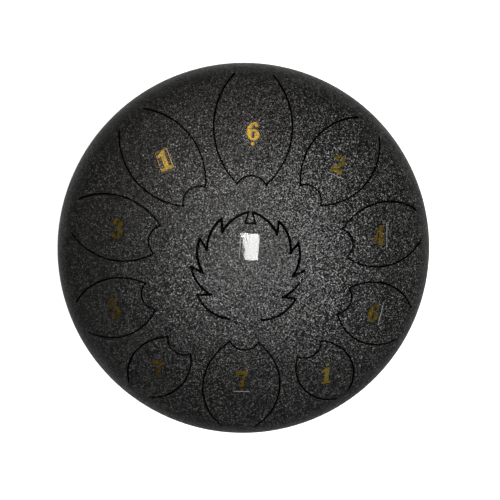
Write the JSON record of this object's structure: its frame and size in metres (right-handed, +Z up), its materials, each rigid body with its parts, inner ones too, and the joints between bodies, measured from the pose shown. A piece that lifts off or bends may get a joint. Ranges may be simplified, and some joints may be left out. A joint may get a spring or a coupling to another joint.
{
  "type": "steel tongue drum",
  "caption": "Round steel tongue drum: a pressed top shell with leaf-shaped tongues cut in it, welded to a bottom shell with a sound hole, on screwed rubber feet.",
  "frame": {"origin": "on the ground under the drum's centre, at the level of the feet's lower faces", "axes": "+Z up through the crown; +Y towards the low 6 tongue; +X to the right of a player who sits at the low 7 tongue and looks down"},
  "size_m": [0.254, 0.254, 0.1366],
  "materials": {
    "shell_paint": "black hammer paint with a fine grey speckle, satin",
    "foot_rubber": "matt black moulded rubber",
    "fastener_steel": "zinc-plated steel",
    "nut_steel": "zinc-plated steel with a nylon locking ring",
    "label_film": "thin clear film, glossy",
    "label_foil": "gold foil numeral, bright",
    "weld": "ground weld under the same paint"
  },
  "bodies": {
    "root": {"top_shell": "shell_paint", "bottom_shell": "shell_paint", "foot_1": "foot_rubber", "foot_2": "foot_rubber", "foot_3": "foot_rubber", "foot_washer_1": "fastener_steel", "foot_washer_2": "fastener_steel", "foot_washer_3": "fastener_steel", "foot_screw_1": "fastener_steel", "foot_screw_2": "fastener_steel", "foot_screw_3": "fastener_steel", "inner_washer_1": "fastener_steel", "inner_washer_2": "fastener_steel", "inner_washer_3": "fastener_steel", "lock_nut_1": "nut_steel", "lock_nut_2": "nut_steel", "lock_nut_3": "nut_steel", "label_low_5": "label_film", "label_low_6": "label_film", "label_1": "label_film", "label_2": "label_film", "label_3": "label_film", "label_4": "label_film", "label_5": "label_film", "label_6": "label_film", "label_7": "label_film", "label_high_1": "label_film", "label_low_7": "label_film"}
  },
  "joints": []
}
